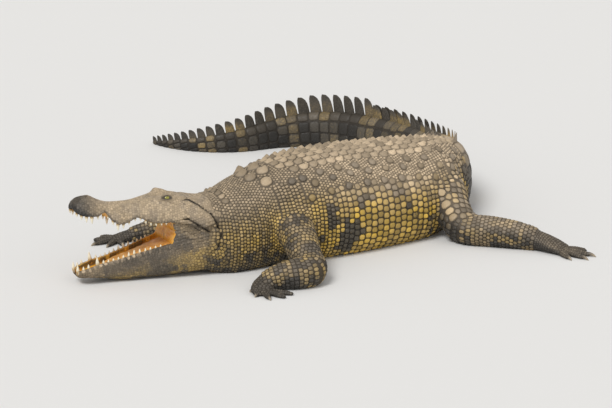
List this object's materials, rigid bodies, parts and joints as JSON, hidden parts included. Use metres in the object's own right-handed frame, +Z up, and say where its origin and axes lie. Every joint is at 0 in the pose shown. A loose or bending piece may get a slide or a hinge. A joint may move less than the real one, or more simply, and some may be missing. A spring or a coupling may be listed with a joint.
{
  "type": "nile crocodile, still life-size model",
  "caption": "Life-size still model of a Nile crocodile at rest on its belly, jaws agape and tail swept round behind it.",
  "frame": {"origin": "centre of the bounding box at floor level, under the animal's right side", "axes": "+Z up, -X the way the snout points, +Y towards the animal's right side and the tail, -Y towards its left side"},
  "size_m": [1.8812, 2.0178, 0.3511],
  "materials": {
    "hide": "matte",
    "mouth": "satin",
    "eye": "gloss",
    "tooth": "satin",
    "claw": "satin"
  },
  "bodies": {
    "root": {"head_upper": "hide", "lower_jaw": "hide", "eye_left": "eye", "eye_right": "eye", "cheeks": "mouth", "tongue": "mouth", "neck": "hide", "trunk_fore": "hide", "trunk_mid": "hide", "trunk_hind": "hide", "tail_1": "hide", "tail_2": "hide", "tail_3": "hide", "tail_4": "hide", "tail_5": "hide", "upper_arm_left": "hide", "forearm_left": "hide", "hand_left": "hide", "upper_arm_right": "hide", "forearm_right": "hide", "hand_right": "hide", "thigh_left": "hide", "shank_left": "hide", "foot_left": "hide", "thigh_right": "hide", "shank_right": "hide", "foot_right": "hide"}
  },
  "joints": []
}
